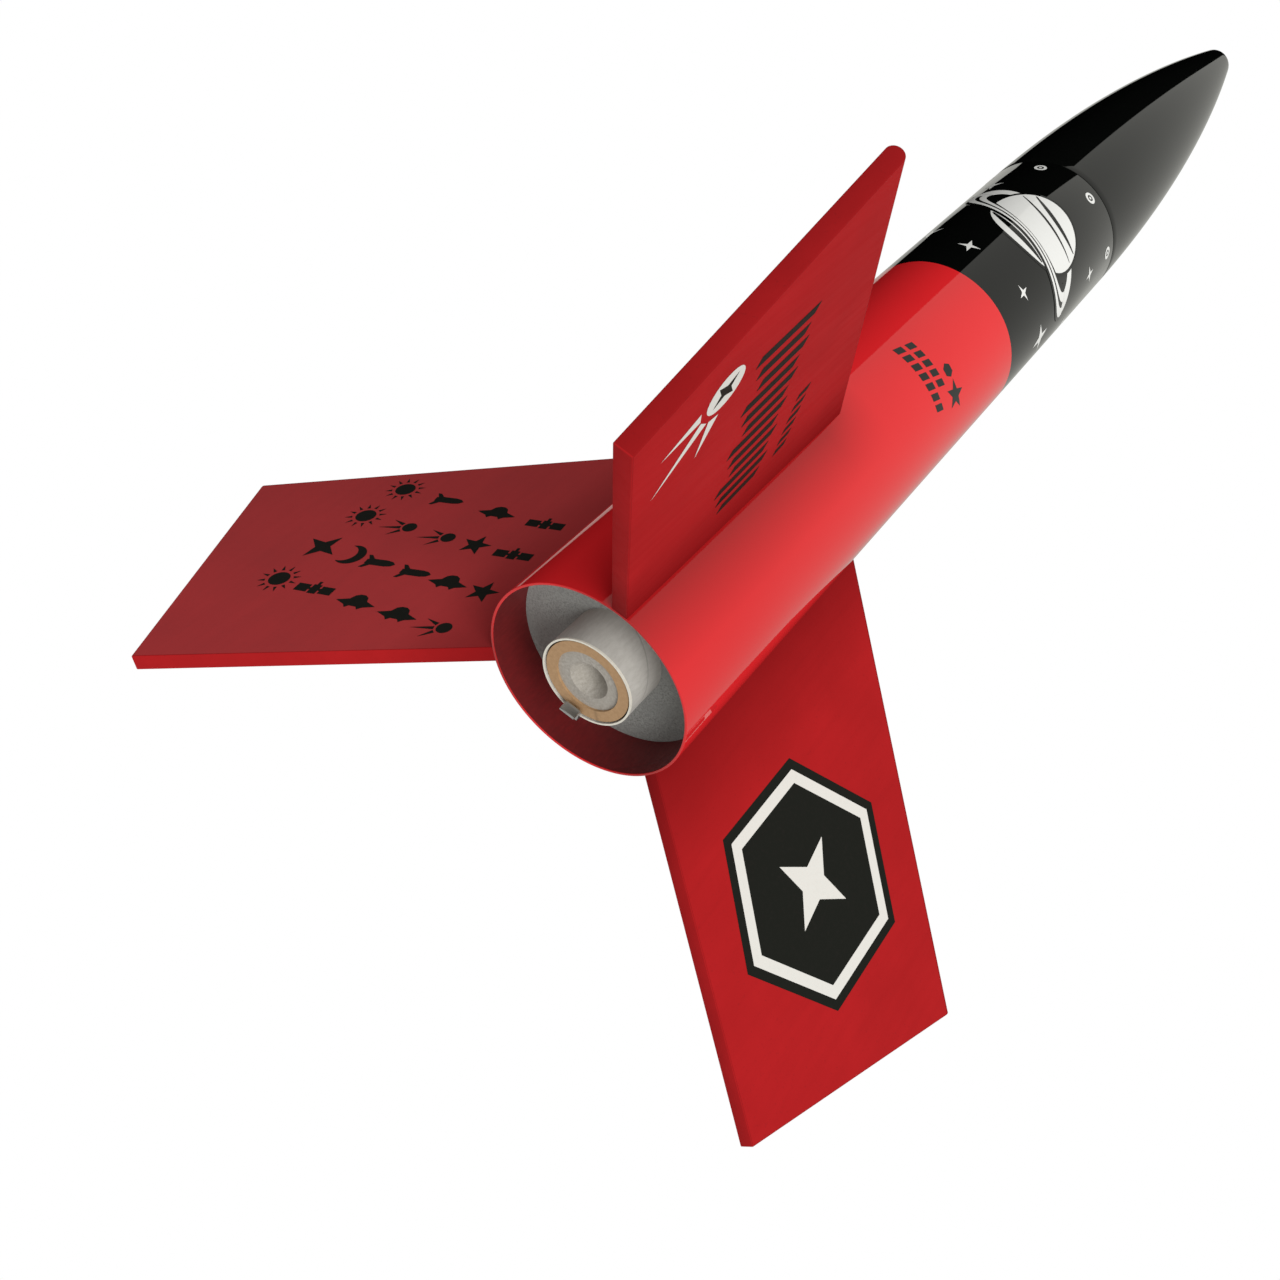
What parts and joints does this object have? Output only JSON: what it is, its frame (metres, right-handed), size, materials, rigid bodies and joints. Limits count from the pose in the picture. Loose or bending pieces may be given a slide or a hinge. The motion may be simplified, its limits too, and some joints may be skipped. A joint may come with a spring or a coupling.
{
  "type": "model rocket",
  "caption": "Model rocket with swept board fins, a long blunt ogive nose that pulls off, packed recovery gear and a cartridge motor held by a spring hook.",
  "frame": {"origin": "on the rocket's axis, at the tail end of the body tube; the fin tips reach below it", "axes": "+Z along the body tube's axis from the tail to the nose; +Y is the direction of fin_1, and -Y faces the open bay between the other two fins"},
  "size_m": [0.1854, 0.1609, 0.4164],
  "materials": {
    "red_tube": "gloss",
    "red_fin": "satin",
    "lug_paper": "satin",
    "glue": "satin",
    "mount_paper": "matte",
    "ring_fibre": "matte",
    "thrust_card": "matte",
    "band_paper": "matte",
    "mount_card": "matte",
    "spring_steel": "satin",
    "black_plastic": "gloss",
    "clay": "matte",
    "chute_film": "satin",
    "wadding_tissue": "matte",
    "casing_paper": "matte",
    "nozzle_clay": "matte",
    "propellant": "matte",
    "delay_mix": "matte",
    "charge_mix": "matte",
    "cap_clay": "matte"
  },
  "bodies": {
    "airframe": {"body_tube": "red_tube", "fin_1": "red_fin", "fin_2": "red_fin", "fin_3": "red_fin", "launch_lug": "lug_paper", "lug_glue": "glue", "motor_mount_tube": "mount_paper", "aft_centering_ring": "ring_fibre", "forward_centering_ring": "ring_fibre", "thrust_ring": "thrust_card", "hook_band": "band_paper", "shock_cord_mount": "mount_card"},
    "hook": {"motor_hook": "spring_steel"},
    "nose": {"nose_cone": "black_plastic", "nose_base": "black_plastic", "nose_weight": "clay"},
    "recovery": {"parachute_pack": "chute_film", "recovery_wadding": "wadding_tissue"},
    "motor": {"motor_casing": "casing_paper", "motor_nozzle": "nozzle_clay", "propellant_grain": "propellant", "delay_grain": "delay_mix", "ejection_charge": "charge_mix", "motor_clay_cap": "cap_clay"}
  },
  "joints": [
    {"name": "nose_slide", "type": "slide", "parent": "airframe", "child": "nose", "axis": [0, 0, 1], "range_m": [0, 0.2]},
    {"name": "recovery_slide", "type": "slide", "parent": "airframe", "child": "recovery", "axis": [0, 0, 1], "range_m": [0, 0.15]},
    {"name": "motor_slide", "type": "slide", "parent": "airframe", "child": "motor", "axis": [0, 0, -1], "range_m": [0, 0.1], "deforming": ["motor_hook"]},
    {"name": "hook_flex", "type": "hinge", "parent": "airframe", "child": "hook", "pos_m": [0.00862, 0.00498, 0.052], "axis": [0.5, -0.866, 0], "range_deg": [0, 3.5], "stiffness_Nm_per_rad": 1.8, "deforming": ["motor_hook"]}
  ],
  "couplings": [
    {"joint": "recovery_slide", "follows": "nose_slide", "ratio": 0.75}
  ]
}
